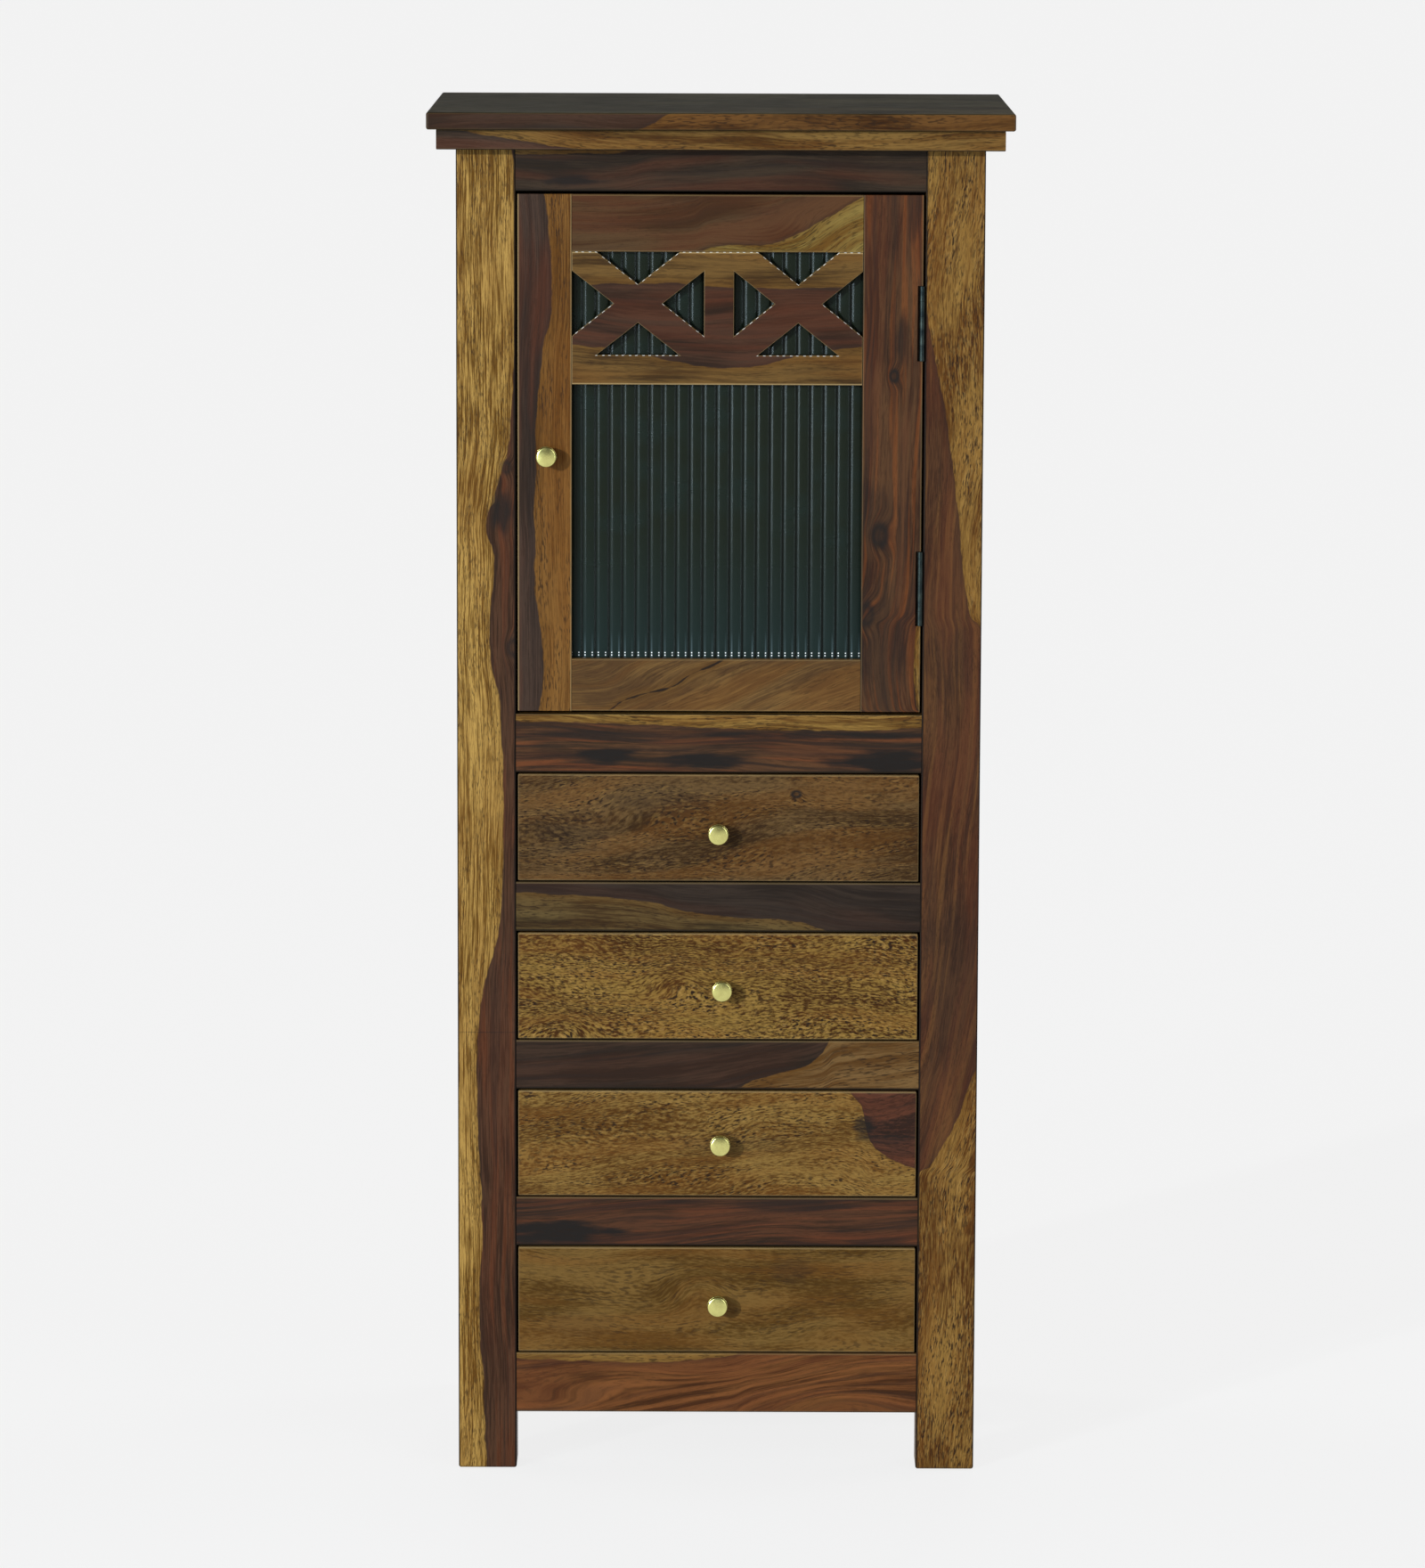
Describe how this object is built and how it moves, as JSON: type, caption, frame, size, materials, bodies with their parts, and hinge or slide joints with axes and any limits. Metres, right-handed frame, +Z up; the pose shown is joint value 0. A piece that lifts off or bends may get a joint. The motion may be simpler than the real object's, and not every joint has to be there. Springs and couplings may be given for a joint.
{
  "type": "display cabinet",
  "caption": "Tall narrow wooden cabinet with an inset lattice and fluted-glass door over a stack of inset drawers.",
  "frame": {"origin": "on the floor, under the centre of the top board", "axes": "+Z up, -Y out of the front with the door and drawers, +X to the right seen from the front"},
  "size_m": [0.61, 0.406, 1.448],
  "materials": {
    "top_wood": "satin lacquered rosewood",
    "post_wood": "satin lacquered rosewood",
    "rail_wood": "satin lacquered rosewood",
    "side_wood": "satin lacquered rosewood",
    "door_wood": "satin lacquered rosewood",
    "drawer_wood": "satin lacquered rosewood",
    "inner_wood": "bare planed wood",
    "plywood": "thin stained plywood",
    "fluted_glass": "dark reeded glass",
    "brass": "satin",
    "black_steel": "blackened steel",
    "zinc_steel": "zinc plated",
    "catch_plastic": "moulded brown"
  },
  "bodies": {
    "carcass": {"top_board": "top_wood", "cornice_front": "top_wood", "cornice_back": "top_wood", "cornice_left": "top_wood", "cornice_right": "top_wood", "post_front_left": "post_wood", "post_front_right": "post_wood", "post_back_left": "post_wood", "post_back_right": "post_wood", "rail_bottom": "rail_wood", "rail_drawer_lower": "rail_wood", "rail_drawer_middle": "rail_wood", "rail_drawer_upper": "rail_wood", "rail_under_door": "rail_wood", "rail_top": "rail_wood", "side_rails_left": "side_wood", "side_rails_right": "side_wood", "side_panels_left": "side_wood", "side_panels_right": "side_wood", "back_rails": "side_wood", "back_panels": "plywood", "cupboard_floor": "inner_wood", "cupboard_shelf": "inner_wood", "cupboard_cleats": "inner_wood", "drawer_runners_left": "inner_wood", "drawer_runners_right": "inner_wood", "top_screws": "zinc_steel", "hinge_post_leaves": "black_steel", "hinge_pins": "black_steel", "hinge_post_screws": "black_steel", "magnetic_catch": "catch_plastic", "catch_screws": "zinc_steel"},
    "door": {"door_stile_left": "door_wood", "door_stile_right": "door_wood", "door_rail_top": "door_wood", "door_rail_bottom": "door_wood", "door_lattice": "door_wood", "door_glass": "fluted_glass", "door_glass_beads": "door_wood", "door_knob": "brass", "hinge_door_leaves": "black_steel", "hinge_door_screws": "black_steel", "catch_plate": "zinc_steel"},
    "drawer_1": {"drawer_1_front": "drawer_wood", "drawer_1_box": "inner_wood", "drawer_1_bottom": "plywood", "drawer_1_knob": "brass"},
    "drawer_2": {"drawer_2_front": "drawer_wood", "drawer_2_box": "inner_wood", "drawer_2_bottom": "plywood", "drawer_2_knob": "brass"},
    "drawer_3": {"drawer_3_front": "drawer_wood", "drawer_3_box": "inner_wood", "drawer_3_bottom": "plywood", "drawer_3_knob": "brass"},
    "drawer_4": {"drawer_4_front": "drawer_wood", "drawer_4_box": "inner_wood", "drawer_4_bottom": "plywood", "drawer_4_knob": "brass"}
  },
  "joints": [
    {"name": "door_hinge", "type": "hinge", "parent": "carcass", "child": "door", "pos_m": [0.2105, -0.1726, 1.0895], "axis": [0, 0, 1], "range_deg": [0, 170]},
    {"name": "drawer_1_slide", "type": "slide", "parent": "carcass", "child": "drawer_1", "axis": [0, -1, 0], "range_m": [0, 0.26]},
    {"name": "drawer_2_slide", "type": "slide", "parent": "carcass", "child": "drawer_2", "axis": [0, -1, 0], "range_m": [0, 0.26]},
    {"name": "drawer_3_slide", "type": "slide", "parent": "carcass", "child": "drawer_3", "axis": [0, -1, 0], "range_m": [0, 0.26]},
    {"name": "drawer_4_slide", "type": "slide", "parent": "carcass", "child": "drawer_4", "axis": [0, -1, 0], "range_m": [0, 0.26]}
  ]
}
